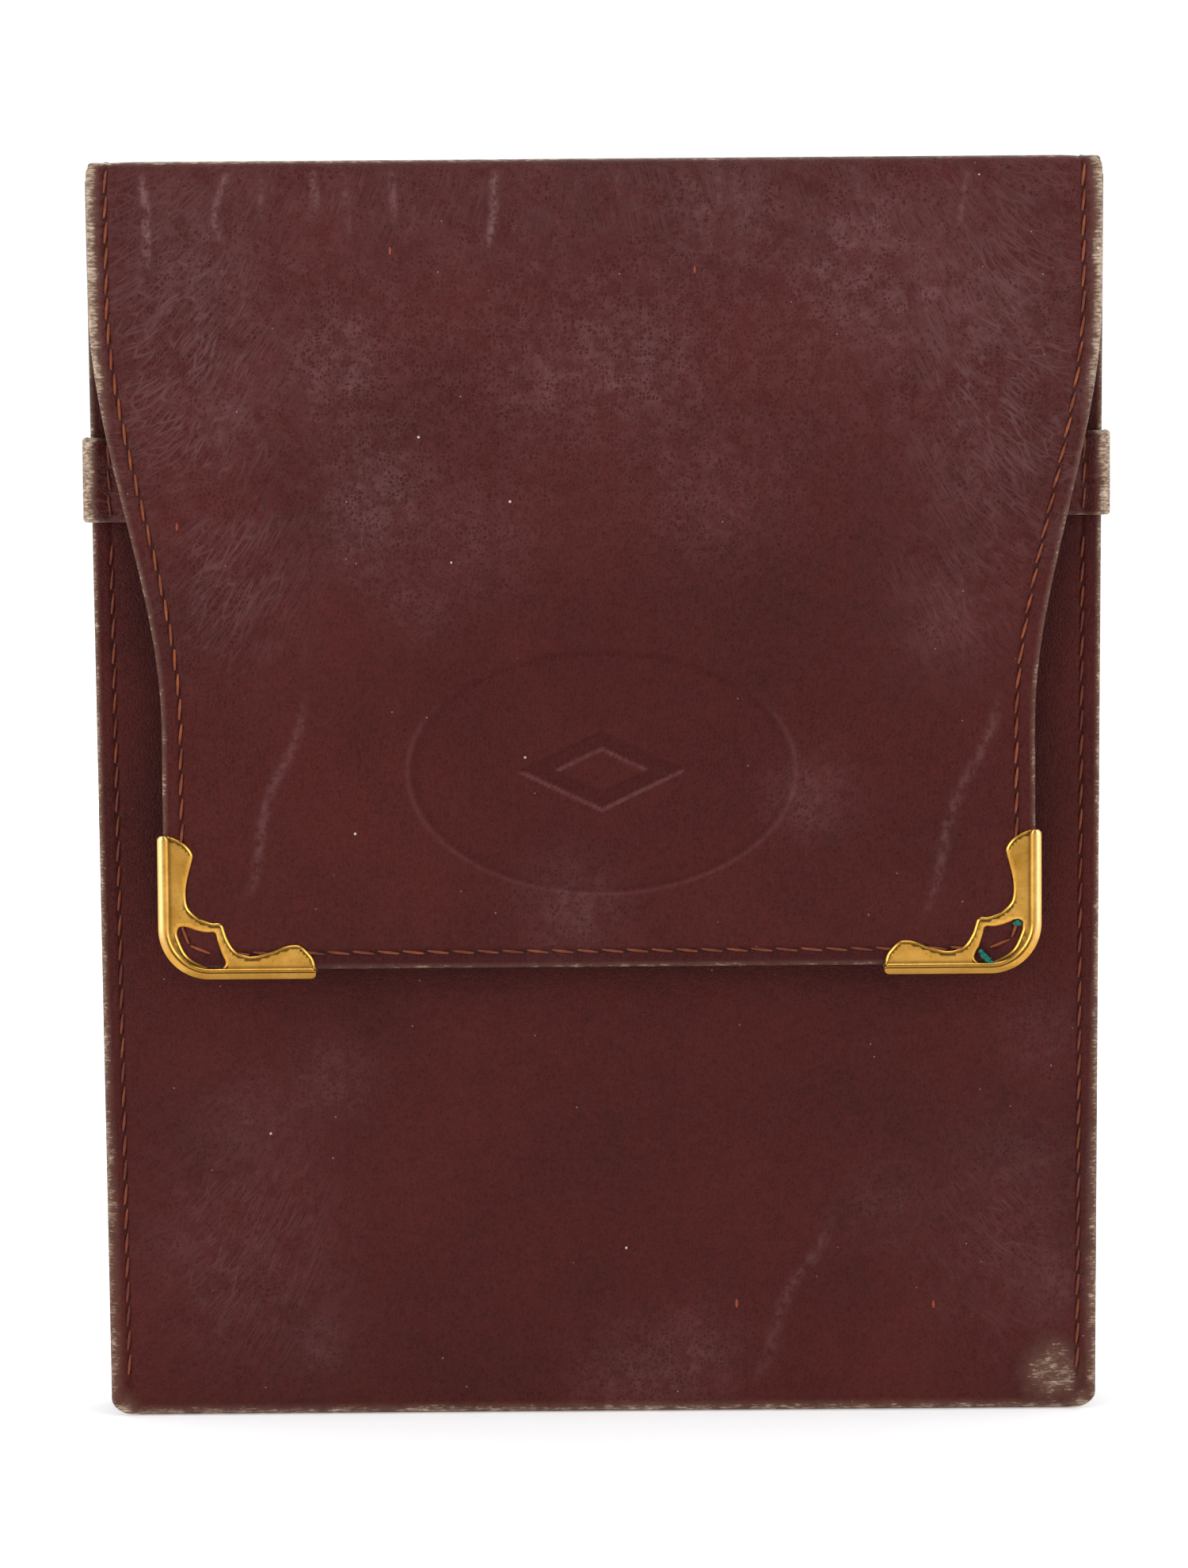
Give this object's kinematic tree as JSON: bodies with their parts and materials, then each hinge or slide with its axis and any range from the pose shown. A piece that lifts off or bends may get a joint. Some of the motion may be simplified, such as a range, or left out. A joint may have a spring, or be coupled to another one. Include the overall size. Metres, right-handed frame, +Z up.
{
  "type": "card holder",
  "caption": "Upright leather card holder with folding side gussets, stepped inner pockets, a keeper strap and a stitched S-sided flap with brass corner clips.",
  "frame": {"origin": "middle of the floor that the closed holder stands on, at the centre of its box in X and Y", "axes": "+Z up, the flap and front panel face -Y, +X to the right seen from the front"},
  "size_m": [0.1072, 0.0164, 0.132],
  "materials": {
    "outer_leather": "calf grain, worn",
    "lining_leather": "smooth, matt",
    "board": "pressed fibre board",
    "gusset_leather": "calf grain, soft",
    "thread": "waxed thread",
    "brass": "polished, a little tarnished"
  },
  "bodies": {
    "back": {"back_cover": "outer_leather", "bottom_cover": "outer_leather", "back_board": "board", "back_lining": "lining_leather", "bottom_lining": "lining_leather", "card_pocket_upper": "lining_leather", "card_pocket_middle": "lining_leather", "card_pocket_lower": "lining_leather", "left_gusset": "gusset_leather", "right_gusset": "gusset_leather", "back_stitching": "thread"},
    "front": {"front_cover": "outer_leather", "front_board": "board", "front_lining": "lining_leather", "keeper_strap": "outer_leather", "front_stitching": "thread"},
    "top": {"rear_crease": "outer_leather", "top_cover": "outer_leather", "top_lining": "lining_leather", "front_crease": "outer_leather"},
    "flap": {"flap_cover": "outer_leather", "flap_board": "board", "flap_lining": "lining_leather", "flap_stitching": "thread", "left_corner_clip": "brass", "right_corner_clip": "brass"}
  },
  "joints": [
    {"name": "rear_crease_hinge", "type": "hinge", "parent": "back", "child": "top", "pos_m": [0, 0.00713, 0.13103], "axis": [-1, 0, 0], "range_deg": [0, 95], "deforming": ["rear_crease"]},
    {"name": "front_crease_hinge", "type": "hinge", "parent": "top", "child": "flap", "pos_m": [0, -0.00662, 0.13103], "axis": [-1, 0, 0], "range_deg": [0, 95], "deforming": ["front_crease"]},
    {"name": "front_panel_hinge", "type": "hinge", "parent": "back", "child": "front", "pos_m": [0, -0.0032, 0.0015], "axis": [1, 0, 0], "range_deg": [0, 3.7], "deforming": ["left_gusset", "right_gusset"]}
  ],
  "couplings": [
    {"joint": "front_crease_hinge", "follows": "rear_crease_hinge", "ratio": 1},
    {"joint": "front_panel_hinge", "follows": "rear_crease_hinge", "ratio": 0.038}
  ]
}
